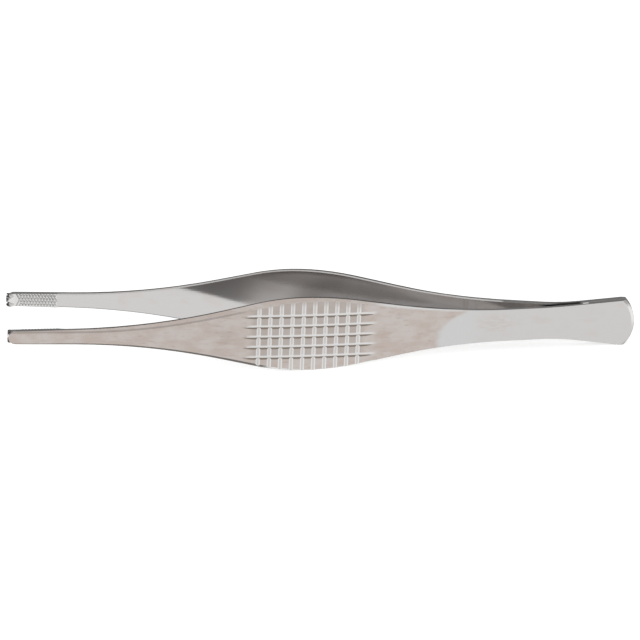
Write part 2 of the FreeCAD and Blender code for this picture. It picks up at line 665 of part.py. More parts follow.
def long_grooves(body):
    """V grooves along the grip: an even depth below the bow, and a wheel's run-out at each end."""
    centre = side_corners()["bow_centre"]
    outer = size("bow_radius") + size("grip_thickness")
    bottom = outer - size("long_groove_depth")
    middle = 90 + math.degrees(math.asin((centre.x - size("groove_station")) / outer))
    reach = (CROSS_GROOVES - 1) / 2 * size("groove_pitch") + size("long_groove_overrun")
    half_sweep = math.degrees(reach / outer)
    long_groove_cut(body, "long_grooves", centre, middle, 1, 2 * half_sweep,
                    "Sizes.bow_radius + Sizes.grip_thickness - Sizes.long_groove_depth")
    wheel = size("long_cutter_radius")
    half_bite = math.degrees(math.acos(1 - (size("long_groove_depth") + SHALLOW_OVERCUT) / wheel))
    for where, turn in (("rear", half_sweep), ("front", -half_sweep)):
        hub = centre + unit(middle + turn) * (bottom + wheel)
        long_groove_cut(body, f"{where}_run_out", hub, middle + turn + 180, -1, 2 * half_bite,
                        "Sizes.long_cutter_radius")


def long_groove_cut(body, name, pivot, toward, opening, sweep, radius_formula):
    """Turn the row of V sections about a pivot.

    The V bottoms lie at the given radius in the direction toward the arm's surface, and
    the sections open away from the pivot (1) or to it (-1).
    """
    turned = Rotation(Vector(0, 0, 1), toward).multiply(Rotation(Vector(1, 0, 0), 90))
    sketch = new_sketch(body, f"{name}_section", "XY_Plane", Placement(pivot, turned))
    radius = float(sketch.evalExpression(radius_formula))
    rise_formula = f"Sizes.long_groove_depth + {SHALLOW_OVERCUT}"
    half_formula = f"Sizes.long_groove_width / 2 * ({rise_formula}) / Sizes.long_groove_depth"
    rise = float(sketch.evalExpression(rise_formula))
    half = float(sketch.evalExpression(half_formula))
    for number in range(LONG_GROOVES):
        row = number - (LONG_GROOVES - 1) / 2
        height = row * size("groove_pitch") - body_up(body) * size("groove_shift")
        bottom = Vector(radius, height, 0)
        above = Vector(radius + opening * rise, height + half, 0)
        below = Vector(radius + opening * rise, height - half, 0)
        pieces = [(None, bottom, above), (None, above, below), (None, below, bottom)]
        upper, back, _ = [place[0] for place in add_loop(sketch, pieces)]
        constrain(sketch, "Vertical", back)
        bind(sketch, f"radius_{number}", radius_formula, "DistanceX", -1, 1, upper, 1)
        ends = (upper, 1, back, 1) if opening > 0 else (back, 1, upper, 1)
        bind(sketch, f"rise_{number}", rise_formula, "DistanceX", *ends)
        bind(sketch, f"upper_half_{number}", half_formula, "DistanceY", upper, 1, back, 1)
        bind(sketch, f"lower_half_{number}", half_formula, "DistanceY", back, 2, upper, 1)
        sign = 1 if height > 0 else -1
        bind(sketch, f"row_{number}",
             f"{sign} * ({row} * Sizes.groove_pitch - {body_up(body)} * Sizes.groove_shift)",
             "DistanceY", *across(sign, (upper, 1)))
    groove = body.newObject("PartDesign::Groove", name)
    groove.Profile = (sketch, [""])
    groove.ReferenceAxis = (sketch, ["V_Axis"])
    groove.Midplane = True
    groove.Angle = sweep
    return finish(body, groove)


def jaw_frame(station):
    """Placement on the jaw face at one station, its X along the face."""
    corner = side_corners()
    face = crossing(corner["jaw_top"], unit(size("front_angle")),
                    Vector(station, 0, 0), Vector(0, 1, 0))
    return Placement(face, Rotation(Vector(0, 0, 1), size("front_angle")))


def serration(body, lean):
    """One set of slanting grooves across the jaw face."""
    side = "left" if lean > 0 else "right"
    lead = size("tip_half_width") * slope("serration_lean") + size("serration_width")
    foremost = size("overall_length") - size("tooth_length") - lead
    count = int((foremost - size("jaw_station")) / size("serration_pitch")) + 1
    start = foremost - (count - 1) * size("serration_pitch")
    sketch = new_sketch(body, f"{side}_serration_section", "XY_Plane", jaw_frame(start))
    half = size("serration_width") / 2
    depth = size("serration_depth")
    fall = half / depth
    bottom = Vector(0, depth, 0)
    left = Vector(-half - SLIGHT_OVERCUT * fall, -SLIGHT_OVERCUT, 0)
    right = Vector(half + SLIGHT_OVERCUT * fall, -SLIGHT_OVERCUT, 0)
    pieces = [(None, left, right), (None, right, bottom), (None, bottom, left)]
    places = add_loop(sketch, pieces)
    constrain(sketch, "PointOnObject", places[1][0], 2, -2)
    constrain(sketch, "DistanceY", places[0][0], 1, -1, 1, SLIGHT_OVERCUT)
    bind(sketch, "depth", "Sizes.serration_depth", "DistanceY", -1, 1, places[1][0], 2)
    constrain(sketch, "Symmetric", places[0][0], 1, places[0][0], 2, -2)
    edge = point_on(sketch, half, 0)
    constrain(sketch, "PointOnObject", edge, 1, -1)
    constrain(sketch, "PointOnObject", edge, 1, places[1][0])
    bind(sketch, "half_width", "Sizes.serration_width / 2", "DistanceX", -1, 1, edge, 1)
    tilt = math.radians(lean * size("serration_lean"))
    along = unit(size("front_angle")) * math.sin(tilt) + Vector(0, 0, math.cos(tilt))
    first = pocket(body, f"{side}_serration_cut", sketch, 12 * size("tip_half_width"), along)
    pattern = body.newObject("PartDesign::LinearPattern", f"{side}_serration")
    pattern.Originals = [first]
    pattern.Direction = (sketch, ["H_Axis"])
    pattern.Mode = "Extent"
    pattern.setExpression("Length", f"Sizes.serration_pitch * {count - 1}")
    pattern.Occurrences = count
    return finish(body, pattern)


def tooth_cut(body, name, points, sloping):
    """Cut one outline, given as (width, height above the jaw face), through the tooth zone."""
    overhang = 0.6
    face = jaw_frame(size("overall_length") + overhang)
    lift = size("tooth_height") * overhang / size("tooth_length") if sloping else 0.0
    sketch = new_sketch(body, name + "_section", "YZ_Plane",
                        Placement(Vector(face.Base.y, 0, face.Base.x),
                                  Rotation(Vector(0, 1, 0), 0)))
    corners = [Vector(lift - height, width, 0) for width, height in points]
    pieces = [(None, a, b) for a, b in zip(corners, corners[1:] + corners[:1])]
    add_loop(sketch, pieces)
    cut = body.newObject("PartDesign::Pocket", name)
    cut.Profile = (sketch, [""])
    cut.Type = "Length"
    cut.SideType = "One side"
    cut.Length = size("tooth_length") + 3 * overhang
    fall = size("tooth_height") / size("tooth_length") if sloping else 0.0
    along = unit(size("front_angle") + math.degrees(math.atan(fall)))
    cut.UseCustomVector = True
    cut.Direction = -along
    cut.AlongSketchNormal = False
    return finish(body, cut)


def single_tooth(body):
    """One middle tooth between two V notches, with a low ridge beyond each notch."""
    rise = size("tooth_height")
    half = size("tooth_half_pitch")
    spread = 3 * rise * slope("tooth_flank")
    for side, where in ((1, "upper"), (-1, "lower")):
        points = [(side * (half - spread), 2 * rise), (side * half, -rise),
                  (side * (half + spread), 2 * rise)]
        tooth_cut(body, f"{where}_notch", points, True)


def double_tooth(body):
    """Two teeth with a notch between them."""
    rise = size("tooth_height")
    half = size("tooth_half_pitch")
    over = 2 * rise
    spread = half + (over - rise) * slope("tooth_flank")
    tooth_cut(body, "middle_notch", [(0, -rise), (spread, over), (-spread, over)], True)
    for side in (1, -1):
        crest_over = half - (over - rise) * slope("tooth_flank")
        foot = half + 2 * rise * slope("tooth_flank")
        points = [(side * crest_over, over), (side * foot, -rise), (side * (foot + 2), -rise),
                  (side * (foot + 2), over)]
        tooth_cut(body, f"flank_{'upper' if side > 0 else 'lower'}", points, False)


def build_arm(label, teeth):
    """One arm in its own frame, as a body."""
    body = doc.addObject("PartDesign::Body", label)
    body.Label = label
    blank = body.newObject("PartDesign::Pad", "blank")
    blank.Profile = (side_profile(body), [""])
    blank.SideType = "Symmetric"
    blank.Length = 2 * CLEAR_OF_ARM - 4 * OVERCUT
    finish(body, blank)
    trim = pocket(body, "trim", half_outline(body), 4 * CLEAR_OF_ARM)
    mirrored = body.newObject("PartDesign::Mirrored", "both_sides")
    mirrored.Originals = [trim]
    mirrored.MirrorPlane = (origin_part(body, "XY_Plane"), [""])
    finish(body, mirrored)
    break_inner_edges(body)
    bevel(body, 1)
    bevel(body, -1)
    heel_bevel(body)
    nose_bevel(body)
    cross_grooves(body)
    long_grooves(body)
    serration(body, 1)
    serration(body, -1)
    teeth(body)
    return body


def rest_tilt():
    """Angle at which the arms rest on the heel's corner and the rounded grip edge."""
    radius = size("heel_end_radius")
    corner = radius - math.sqrt(radius ** 2 - size("heel_half_width") ** 2)
    run = size("grip_station") - corner
    rise = size("heel_half_width") - size("grip_half_width") + size("grip_rear_radius")
    return math.degrees(math.asin(size("grip_rear_radius") / math.hypot(run, rise))
                        - math.atan2(rise, run))


def place(arms):
    """Lay the arms on their lower edges, heel to +X, with the origin under the middle."""
    tilt = Rotation(Vector(0, 1, 0), rest_tilt())
    turns = {"double_tooth_arm": Vector(0, 0, 1), "single_tooth_arm": Vector(0, 1, 0)}
    for arm in arms:
        arm.Placement = Placement(Vector(0, 0, 0),
                                  tilt.multiply(Rotation(turns[arm.Label], 180)))
    doc.recompute()
    box = arms[0].Shape.optimalBoundingBox(False)
    box.add(arms[1].Shape.optimalBoundingBox(False))
    shift = Vector(-(box.XMin + box.XMax) / 2, -(box.YMin + box.YMax) / 2, -box.ZMin)
    for arm in arms:
        arm.Placement = Placement(shift, arm.Placement.Rotation)
    doc.recompute()


def check_and_write(arms):
    """Refuse a failed object, then write one file for each arm."""
    for item in doc.Objects:
        if "Invalid" in item.State or "Error" in item.State:
            raise RuntimeError(f"{item.Name} is {item.State}")
    os.makedirs("parts", exist_ok=True)
    for arm in arms:
        if arm.Shape.isNull() or not arm.Shape.isValid() or len(arm.Shape.Solids) != 1:
            raise RuntimeError(f"{arm.Label} is not one valid solid")
        arm.Shape.exportStep(f"parts/{arm.Label}.step")
        box = arm.Shape.optimalBoundingBox(False)
        print(arm.Label, round(arm.Shape.Volume, 1), [round(v, 3) for v in (
            box.XMin, box.XMax, box.YMin, box.YMax, box.ZMin, box.ZMax)])


UP = {"double_tooth_arm": 1, "single_tooth_arm": -1}
fill_sheet()
both = [build_arm("double_tooth_arm", double_tooth), build_arm("single_tooth_arm", single_tooth)]
place(both)
check_and_write(both)
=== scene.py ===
import math

import bpy
from mathutils import Matrix, Vector


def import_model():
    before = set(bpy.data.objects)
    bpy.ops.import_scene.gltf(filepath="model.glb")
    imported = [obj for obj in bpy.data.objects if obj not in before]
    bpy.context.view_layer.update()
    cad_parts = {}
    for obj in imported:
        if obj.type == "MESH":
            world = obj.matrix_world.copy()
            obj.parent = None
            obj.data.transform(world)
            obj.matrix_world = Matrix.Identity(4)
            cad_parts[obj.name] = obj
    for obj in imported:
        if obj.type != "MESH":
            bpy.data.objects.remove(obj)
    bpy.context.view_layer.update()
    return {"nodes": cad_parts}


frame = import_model()

# Camera: the photograph's place, worked out from the object's own edges.
CAMERA_AIM = Vector((-0.00047, 0.0, 0.01074))
CAMERA_DISTANCE = 1.46207
CAMERA_AZIMUTH = math.radians(-3.823)
CAMERA_ELEVATION = math.radians(25.215)
CAMERA_ROLL = math.radians(-0.484)
SENSOR_MM = 36.0
LENS_MM = 290.54

# The arms lie tilted on the floor: their own frame is turned about Y and has its
# origin at the heel end, in the middle of the width, where the arms touch.
REST_TILT = math.radians(2.645)
HEEL_END = Vector((0.08893, 0.0, 0.00687))
MILLIMETRE = 0.001

# In all that follows, what is named a ramp gives the value where a shade starts and
# the value where it is full. Other pairs give the two ends of what lies between them.

# The grip's bowed outer surface, in millimetres.
BOW_STATION = 122.34
BOW_DEPTH = 350.09
BOW_OUTER_RADIUS = 361.6
FRONT_SLOPE = math.radians(1.95)
FRONT_STATION = 110.04

# Stations along an arm, in millimetres from the heel end.
WELD_END_STRETCH = (13.3, 14.9)
SEAM_STRETCH = (15.5, 28.0)
FLUSH_RAMP = (44.0, 34.0)
ROOT_RAMP = (50.0, 36.0)
FRESH_STRETCH = (45.0, 60.0)
GLINT_STRETCH = (48.0, 74.0)
TOP_REAR_RAMP = (50.0, 58.0)
TOP_FRONT_RAMP = (162.0, 148.0)
RELIEF_RAMP = (55.0, 57.5)
RIM_REAR_RAMP = (62.0, 84.0)
RIM_FRONT_RAMP = (110.0, 100.0)
PATCH_REAR = 74.5
PATCH_FRONT = 112.5
LANDS_STRETCH = (PATCH_REAR + 3.5, PATCH_FRONT - 3.0)
REAR_STREAKS = (PATCH_REAR - 6.0, PATCH_REAR - 1.0)
FRONT_STREAKS = (PATCH_FRONT + 1.0, PATCH_FRONT + 7.0)
LINE_END_RAMP = (PATCH_FRONT - 0.5, PATCH_FRONT - 3.5)
GRIP_MIDDLE = 94.5
LOW_SHADE_STRETCH = (90.0, 97.0)
HIGH_SHADE_STRETCH = (92.0, 122.0)
LOWER_EDGE_RAMP = (103.0, 107.0)
CREASE_RAMP = (108.0, 116.0)
JAW_STATION = 163.4
JAW_RAMP = (JAW_STATION, JAW_STATION + 0.5)
FINE_WORK_RAMP = (JAW_STATION, JAW_STATION + 1.0)
TEETH_RAMP = (175.5, 175.7)
TIP_RAMP = (177.1, 177.5)

# Widths in millimetres above the middle line. A level is a width taken as if the
# grip's upper edge were straight.
ROWS_LOW = -7.7
ROWS_HIGH = 6.5
ROW_PITCH = 3.15
ROW_SHIFT = 0.6
UPPER_LINE = (-0.1, 0.72)
LOWER_LINE = (-0.7, -0.12)
LANDS_WIDTH_RAMP = (ROWS_LOW - 0.3, ROWS_LOW + 0.9)
HIGH_WIDTH_RAMP = (1.0, 9.0)
LOW_WIDTH_RAMP = (2.0, -3.0)
UNSHADED_TIP_WIDTH = (0.7, 0.8)
GRIP_CURVE = 1 / 170
FADE_LEVEL_RAMP = (8.2, 10.0)
RIM_LEVEL_RAMP = (9.3, 11.1)

# Depths in millimetres below the grip's outer surface.
PATCH_DEPTH_RAMP = (-0.05, 0.02)
GROOVE_DEPTH_RAMP = (0.02, 0.06)
GROOVE_FLOOR = (0.23, 0.27)
CREASE_DEPTH = (0.02, 0.22)
SHELF_DEPTH_RAMP = (0.6, 0.9)
TIP_DEPTH_RAMP = (0.8, 1.1)

# Distances in millimetres from the plane where the arms touch.
SEAM_DISTANCE_RAMP = (0.85, 0.6)
WELD_END_DISTANCE_RAMP = (0.9, 0.7)

# Parts of a normal: outward, upward, and upward on a widely rounded edge.
OUTER_RAMP = (0.25, 0.5)
INNER_RAMP = (-0.6, -0.8)
UP_RAMP = (0.15, 0.35)
DOWN_RAMP = (-0.15, -0.35)
TOP_RAMP = (0.85, 0.95)
GLINT_TILT_RAMP = (0.08, 0.25)

# Front end of the relief: it bends back above a width, and wanders with the clouds.
RELIEF_BEND_WIDTH = -2.0
RELIEF_BEND = 0.17
RELIEF_WANDER = 3.0

# Noise values round 0.5, where each kind of mark shows.
NOISE_MIDDLE = 0.5
CLOUD_RAMP = (0.35, 0.65)
PALE_RAMP = (0.5, 0.7)
SPECK_RAMP = (0.55, 0.75)
STREAK_RAMP = (0.5, 0.62)
STAIN_RAMP = (0.4, 0.65)
BLUSH_RAMP = (0.35, 0.6)

# Marks on the outer face: station, width and half sizes in millimetres. A mark's
# reach is 0 in its middle and 1 at its border.
STAINS = [(67.0, 4.2, 2.6, 1.3), (56.0, -2.0, 1.3, 4.5), (117.5, 1.0, 3.0, 4.5)]
BLUSH = (40.0, 1.0, 7.0, 3.5)
REACH_RAMP = (1.0, 0.2)

# Radii of rounded edges in metres.
EDGE_RADIUS = 0.00022
FINE_EDGE_RADIUS = 0.00005
GLINT_RADIUS = 0.0009

# How far normals turn: in the bright lines, on the jaw face and at the weld's end.
LINE_TURN = 0.8
JAW_TURN = 0.18
WELD_END_TURN = 0.5

# Finish of the steel, and what is left of a cross groove's painted highlight at its top.
POLISHED_ROUGHNESS = 0.06
SATIN_ROUGHNESS = 0.2
JAW_ROUGHNESS = 0.1
GRAIN_ROUGHNESS = 0.05
GRAIN_STRENGTH = 0.12
GRAIN_DEPTH = 0.00002
FADED_GROOVE = 0.35

# Linear colours.
BARE_STEEL = (0.642, 0.628, 0.620, 1)
# Painted highlight: lighter steel laid where light glints or is reflected.
PAINTED_HIGHLIGHT = (0.780, 0.775, 0.765, 1)
FRESH_STEEL = (0.645, 0.642, 0.642, 1)
# Painted highlight at the weld's end.
WELD_END_HIGHLIGHT = (0.950, 0.950, 0.950, 1)
WARM_FILM = (0.552, 0.480, 0.438, 1)
PALE_FILM = (0.602, 0.548, 0.520, 1)
# Painted shade on the inner faces and the narrow top faces.
PAINTED_INNER_SHADE = (0.330, 0.305, 0.290, 1)
# Darker tone on the lands, also painted shade on the floors of the cross grooves.
LAND_TONE_AND_GROOVE_SHADE = (0.450, 0.405, 0.375, 1)
BROWN_STAIN = (0.420, 0.330, 0.270, 1)
GREY_STAIN = (0.430, 0.390, 0.360, 1)
# Dirt and painted shade in the lower line of each long groove.
GROOVE_DIRT_AND_SHADE = (0.200, 0.165, 0.135, 1)
# Painted shade in the crease beside the upper bevel.
CREASE_SHADE = (0.290, 0.260, 0.245, 1)
# Painted shade on the lower edge.
LOWER_EDGE_SHADE = (0.160, 0.145, 0.135, 1)
SHADOW = (0.070, 0.065, 0.062, 1)

# Sky: brightness, and the direction's Y and Z where each level comes in.
HORIZON_LEVEL = 0.45
SKY_LEVEL = 0.9
SKY_RAMP = (0.05, 0.3)
FRONT_LEVEL = 1.15
FRONT_RAMP = (-0.3, -0.6)
FRONT_RISE_RAMP = (0.15, 0.35)
BACK_LEVEL = 0.29
BACK_RAMP = (0.15, 0.45)
BACK_RISE_RAMP = (0.85, 0.65)

# Floor in metres, and the painted light and shade it glows with in reflections: ahead of
# the object, and beside the near arm's inner face, where it grows from the neck to the grip.
FLOOR_HALF = 3.0
FLOOR_WHITE = (0.95, 0.95, 0.95, 1)
FLOOR_GLOW = 0.55
FLOOR_AHEAD = 0.97
FLOOR_HEEL = 1.35
FLOOR_NECK = 0.3
FLOOR_GRIP = 0.56
FLOOR_SPOT = 0.3
FLOOR_FRONT_RAMP = (-0.0018, -0.0008)
FLOOR_BACK_RAMP = (0.022, 0.018)
FLOOR_GRIP_RAMP = (-0.034, -0.012)
FLOOR_SPOT_STRETCH = (-0.021, -0.011)
FLOOR_SPOT_SOFT = 0.004
FLOOR_HEEL_RAMP = (0.095, 0.105)


def add_camera():
    """The photograph's view: a long lens from the front and above."""
    ahead = Vector((-math.sin(CAMERA_AZIMUTH) * math.cos(CAMERA_ELEVATION),
                    math.cos(CAMERA_AZIMUTH) * math.cos(CAMERA_ELEVATION),
                    -math.sin(CAMERA_ELEVATION)))
    right = ahead.cross(Vector((0, 0, 1))).normalized()
    upward = right.cross(ahead)
    turned = Matrix.Rotation(-CAMERA_ROLL, 3, ahead)
    right, upward = turned @ right, turned @ upward
    data = bpy.data.cameras.new("camera")
    data.sensor_width = SENSOR_MM
    data.lens = LENS_MM
    camera = bpy.data.objects.new("camera", data)
    axes = Matrix((right, upward, -ahead)).transposed()
    camera.matrix_world = Matrix.Translation(CAMERA_AIM - ahead * CAMERA_DISTANCE) @ axes.to_4x4()
    bpy.context.scene.collection.objects.link(camera)
    bpy.context.scene.camera = camera


class NodeTree:
    """Short ways to add shader nodes to one tree."""

    def __init__(self, tree):
        self.nodes = tree.nodes
        self.links = tree.links
        self.nodes.clear()

    def add(self, kind, **settings):
        node = self.nodes.new(kind)
        for name, value in settings.items():
            setattr(node, name, value)
        return node

    def feed(self, socket, value):
        """Link a socket, or set it where the value is plain."""
        if isinstance(value, bpy.types.NodeSocket):
            self.links.new(value, socket)
        else:
            socket.default_value = value

    def math(self, operation, first, second=0.0, clamp=False):
        node = self.add("ShaderNodeMath", operation=operation, use_clamp=clamp)
        self.feed(node.inputs[0], first)
        self.feed(node.inputs[1], second)
        return node.outputs[0]

    def square(self, value):
        return self.math("MULTIPLY", value, value)

    def opposite(self, mask):
        return self.math("SUBTRACT", 1.0, mask)

    def both(self, *masks):
        """Product of several masks."""
        result = masks[0]
        for mask in masks[1:]:
            result = self.math("MULTIPLY", result, mask)
        return result

    def step(self, value, low, high):
        """Smooth step of a value from 0 at low to 1 at high."""
        node = self.add("ShaderNodeMapRange", interpolation_type="SMOOTHSTEP")
        self.feed(node.inputs["Value"], value)
        node.inputs["From Min"].default_value = low
        node.inputs["From Max"].default_value = high
        return node.outputs["Result"]

    def band(self, value, low, high, soft):
        """1 between two values, with soft sides."""
        return self.both(self.step(value, low - soft, low + soft),
                         self.step(value, high + soft, high - soft))

    def ellipse(self, station, width, place):
        """1 in the middle of an ellipse, 0 at its border."""
        centre_station, centre_width, half_length, half_width = place
        along = self.math("DIVIDE", self.math("SUBTRACT", station, centre_station), half_length)
        across = self.math("DIVIDE", self.math("SUBTRACT", width, centre_width), half_width)
        reach = self.math("ADD", self.square(along), self.square(across))
        return self.step(reach, *REACH_RAMP)

    def off_row(self, value, pitch):
        """Distance from the nearest of evenly spaced lines, one of them at 0."""
        node = self.add("ShaderNodeMath", operation="WRAP")
        self.feed(node.inputs[0], value)
        node.inputs[1].default_value = pitch / 2
        node.inputs[2].default_value = -pitch / 2
        return node.outputs[0]

    def between(self, amount, first, second):
        """Mix of two plain numbers."""
        node = self.add("ShaderNodeMix")
        self.feed(node.inputs["Factor"], amount)
        self.feed(node.inputs[2], first)
        self.feed(node.inputs[3], second)
        return node.outputs[0]

    def turn(self, amount, first, second):
        """Mix of two vectors."""
        node = self.add("ShaderNodeMix", data_type="VECTOR")
        self.feed(node.inputs["Factor"], amount)
        self.feed(node.inputs[4], first)
        self.feed(node.inputs[5], second)
        return node.outputs[1]

    def blend(self, mask, first, second, strength=1.0):
        """Mix of two colours."""
        node = self.add("ShaderNodeMix", data_type="RGBA")
        self.feed(node.inputs["Factor"], self.math("MULTIPLY", mask, strength))
        self.feed(node.inputs[6], first)
        self.feed(node.inputs[7], second)
        return node.outputs[2]

    def split(self, vector):
        """The three parts of a vector."""
        node = self.add("ShaderNodeSeparateXYZ")
        self.feed(node.inputs[0], vector)
        return node.outputs

    def noise(self, vector, scale, stretch, detail):
        """Cloudy value near 0.5, stretched along some axes."""
        stretched = self.add("ShaderNodeMapping")
        self.feed(stretched.inputs["Vector"], vector)
        stretched.inputs["Scale"].default_value = stretch
        node = self.add("ShaderNodeTexNoise")
        self.feed(node.inputs["Vector"], stretched.outputs["Vector"])
        node.inputs["Scale"].default_value = scale
        node.inputs["Detail"].default_value = detail
        return node.outputs["Fac"]

    def rounded(self, radius, samples):
        """Normal with the edges rounded."""
        node = self.add("ShaderNodeBevel", samples=samples)
        self.feed(node.inputs["Radius"], radius)
        return node.outputs["Normal"]

    def show(self, kind, shader):
        """End the tree in an output node."""
        self.feed(self.add(kind).inputs["Surface"], shader)


def node_material(name):
    """An empty node material and its tree."""
    material = bpy.data.materials.new(name)
    material.use_nodes = True
    return material, NodeTree(material.node_tree)


class ArmSteel:
    """Forged stainless steel of one arm: warm film outside, polished inside, with painted
    highlights and painted shade inside, in the grooves, on the edges and at the tip.
    """

    def __init__(self, name, outward):
        self.material, self.tree = node_material(name)
        self.outward = float(outward)
        self.find_places()
        self.find_facings()
        self.find_grooves()
        self.paint_outer_face()
        self.paint_inner_face()
        self.paint_grooves()
        self.paint_edges()
        self.paint_weld()
        self.paint_tip()
        self.add_shader()

    def find_places(self):
        """Station, depth and width of a point in the arm's own frame, in millimetres."""
        tree = self.tree
        place = tree.add("ShaderNodeMapping", vector_type="TEXTURE")
        tree.feed(place.inputs["Vector"], tree.add("ShaderNodeTexCoord").outputs["Object"])
        place.inputs["Location"].default_value = HEEL_END
        place.inputs["Rotation"].default_value = (0, REST_TILT, 0)
        place.inputs["Scale"].default_value = (MILLIMETRE,) * 3
        self.spot = place.outputs["Vector"]
        along, sideways, self.width = tree.split(self.spot)
        self.station = tree.math("MULTIPLY", along, -1.0)
        self.depth = tree.math("MULTIPLY", sideways, self.outward)
        self.below = self.depth_below_surface()
        off_middle = tree.math("SUBTRACT", self.station, GRIP_MIDDLE)
        drop = tree.math("MULTIPLY", tree.square(off_middle), GRIP_CURVE)
        self.level_width = tree.math("ADD", self.width, drop)

    def depth_below_surface(self):
        """How far a point lies below the grip's bowed outer surface, in millimetres."""
        tree = self.tree
        run = tree.math("SUBTRACT", self.station, BOW_STATION)
        height = tree.math("ADD", self.depth, BOW_DEPTH)
        on_bow = tree.math("SQRT", tree.math("ADD", tree.square(run), tree.square(height)))
        on_front = tree.math("SUBTRACT",
                             tree.math("MULTIPLY", height, math.cos(FRONT_SLOPE)),
                             tree.math("MULTIPLY", run, math.sin(FRONT_SLOPE)))
        is_front = tree.math("GREATER_THAN", self.station, FRONT_STATION)
        return tree.math("SUBTRACT", BOW_OUTER_RADIUS, tree.between(is_front, on_bow, on_front))

    def find_facings(self):
        """Masks of the faces that look out, in, up and down."""
        tree = self.tree
        facing = tree.add("ShaderNodeMapping", vector_type="TEXTURE")
        tree.feed(facing.inputs["Vector"],
                  tree.add("ShaderNodeNewGeometry").outputs["True Normal"])
        facing.inputs["Rotation"].default_value = (0, REST_TILT, 0)
        _, normal_y, self.normal_z = tree.split(facing.outputs["Vector"])
        normal_out = tree.math("MULTIPLY", normal_y, self.outward)
        self.outer = tree.step(normal_out, *OUTER_RAMP)
        self.inner = tree.step(normal_out, *INNER_RAMP)
        self.facing_up = tree.step(self.normal_z, *UP_RAMP)
        self.facing_down = tree.step(self.normal_z, *DOWN_RAMP)
        self.not_up = tree.opposite(self.facing_up)

    def find_grooves(self):
        """Masks of the patch: the grooves across, and the two lines of each groove along."""
        tree = self.tree
        in_grooves = tree.both(self.outer,
                               tree.band(self.station, PATCH_REAR, PATCH_FRONT, soft=0.3),
                               tree.step(self.below, *GROOVE_DEPTH_RAMP))
        fade = tree.between(tree.step(self.level_width, *FADE_LEVEL_RAMP), 1.0, FADED_GROOVE)
        self.bright_flank = tree.both(in_grooves, self.not_up, fade)
        upright = tree.opposite(tree.math("ADD", self.facing_up, self.facing_down))
        self.groove_floor = tree.both(upright, tree.band(self.below, *GROOVE_FLOOR, soft=0.005))
        self.in_patch = tree.both(self.outer,
                                  tree.band(self.width, ROWS_LOW, ROWS_HIGH, soft=0.1),
                                  tree.band(self.station, PATCH_REAR, PATCH_FRONT, soft=1.0),
                                  tree.step(self.below, *PATCH_DEPTH_RAMP))
        self.off_patch = tree.opposite(self.in_patch)
        off_row = tree.off_row(tree.math("ADD", self.width, ROW_SHIFT), ROW_PITCH)
        self.upper_line = tree.both(self.in_patch, tree.band(off_row, *UPPER_LINE, soft=0.08),
                                    tree.step(self.station, *LINE_END_RAMP))
        self.lower_line = tree.both(self.in_patch, self.facing_up,
                                    tree.band(off_row, *LOWER_LINE, soft=0.05))

    def paint(self, mask, colour, strength=1.0):
        """Lay a colour over what is there."""
        self.colour = self.tree.blend(mask, self.colour, colour, strength)

    def film(self):
        """Warm film: mottled, streaked at both ends of the patch, and stained."""
        tree = self.tree
        film = tree.blend(tree.step(self.clouds, *CLOUD_RAMP), WARM_FILM, PALE_FILM)
        film = tree.blend(tree.step(self.fine, *SPECK_RAMP), film, BROWN_STAIN, strength=0.33)
        ends = tree.math("ADD", tree.band(self.station, *FRONT_STREAKS, soft=2.5),
                         tree.band(self.station, *REAR_STREAKS, soft=2.5), clamp=True)
        wisps = tree.noise(self.spot, scale=0.9, stretch=(0.1, 1, 1), detail=2.0)
        streaks = tree.both(ends, tree.step(wisps, *STREAK_RAMP))
        film = tree.blend(streaks, film, BROWN_STAIN, strength=0.25)
        for place in STAINS:
            stain = tree.both(tree.ellipse(self.station, self.width, place),
                              tree.step(self.fine, *STAIN_RAMP))
            film = tree.blend(stain, film, GREY_STAIN, strength=0.3)
        return film

    def bare_steel(self):
        """Steel without film, fresh in a band at the relief and faintly warm in one patch."""
        tree = self.tree
        bare = tree.blend(tree.step(self.clouds, *PALE_RAMP), BARE_STEEL, PALE_FILM,
                          strength=0.35)
        fresh = tree.both(self.outer, tree.band(self.station, *FRESH_STRETCH, soft=4.0))
        bare = tree.blend(fresh, bare, FRESH_STEEL)
        blush = tree.both(tree.ellipse(self.station, self.width, BLUSH),
                          tree.step(self.fine, *BLUSH_RAMP))
        return tree.blend(blush, bare, PALE_FILM, strength=0.5)

    def ahead_of_relief(self):
        """1 where the film starts, ahead of the thinned spring stretch."""
        tree = self.tree
        rise = tree.math("MAXIMUM", tree.math("SUBTRACT", self.width, RELIEF_BEND_WIDTH), 0.0)
        bend = tree.math("MULTIPLY", tree.square(rise), RELIEF_BEND)
        wander = tree.math("MULTIPLY", tree.math("SUBTRACT", self.clouds, NOISE_MIDDLE),
                           RELIEF_WANDER)
        front = tree.math("ADD", tree.math("ADD", self.station, bend), wander)
        return tree.step(front, *RELIEF_RAMP)

    def paint_outer_face(self):
        """Bare steel, the film ahead of it, the lands, and a painted highlight along the upper
        edge.
        """
        tree = self.tree
        self.clouds = tree.noise(self.spot, scale=0.35, stretch=(0.5, 1, 1), detail=4.0)
        self.fine = tree.noise(self.spot, scale=1.6, stretch=(0.25, 1, 1), detail=4.0)
        self.colour = self.bare_steel()
        self.paint(tree.both(self.outer, self.ahead_of_relief()), self.film())
        lands = tree.both(self.outer, tree.band(self.station, *LANDS_STRETCH, soft=1.0),
                          self.not_up, tree.step(self.width, *LANDS_WIDTH_RAMP))
        self.paint(lands, LAND_TONE_AND_GROOVE_SHADE, strength=0.62)
        # Painted highlight where the rounded upper edge turns up.
        _, _, tilt = tree.split(tree.rounded(GLINT_RADIUS, samples=8))
        glint = tree.both(self.outer, tree.band(self.station, *GLINT_STRETCH, soft=3.0),
                          tree.step(tilt, *GLINT_TILT_RAMP))
        self.paint(glint, PAINTED_HIGHLIGHT, strength=0.85)

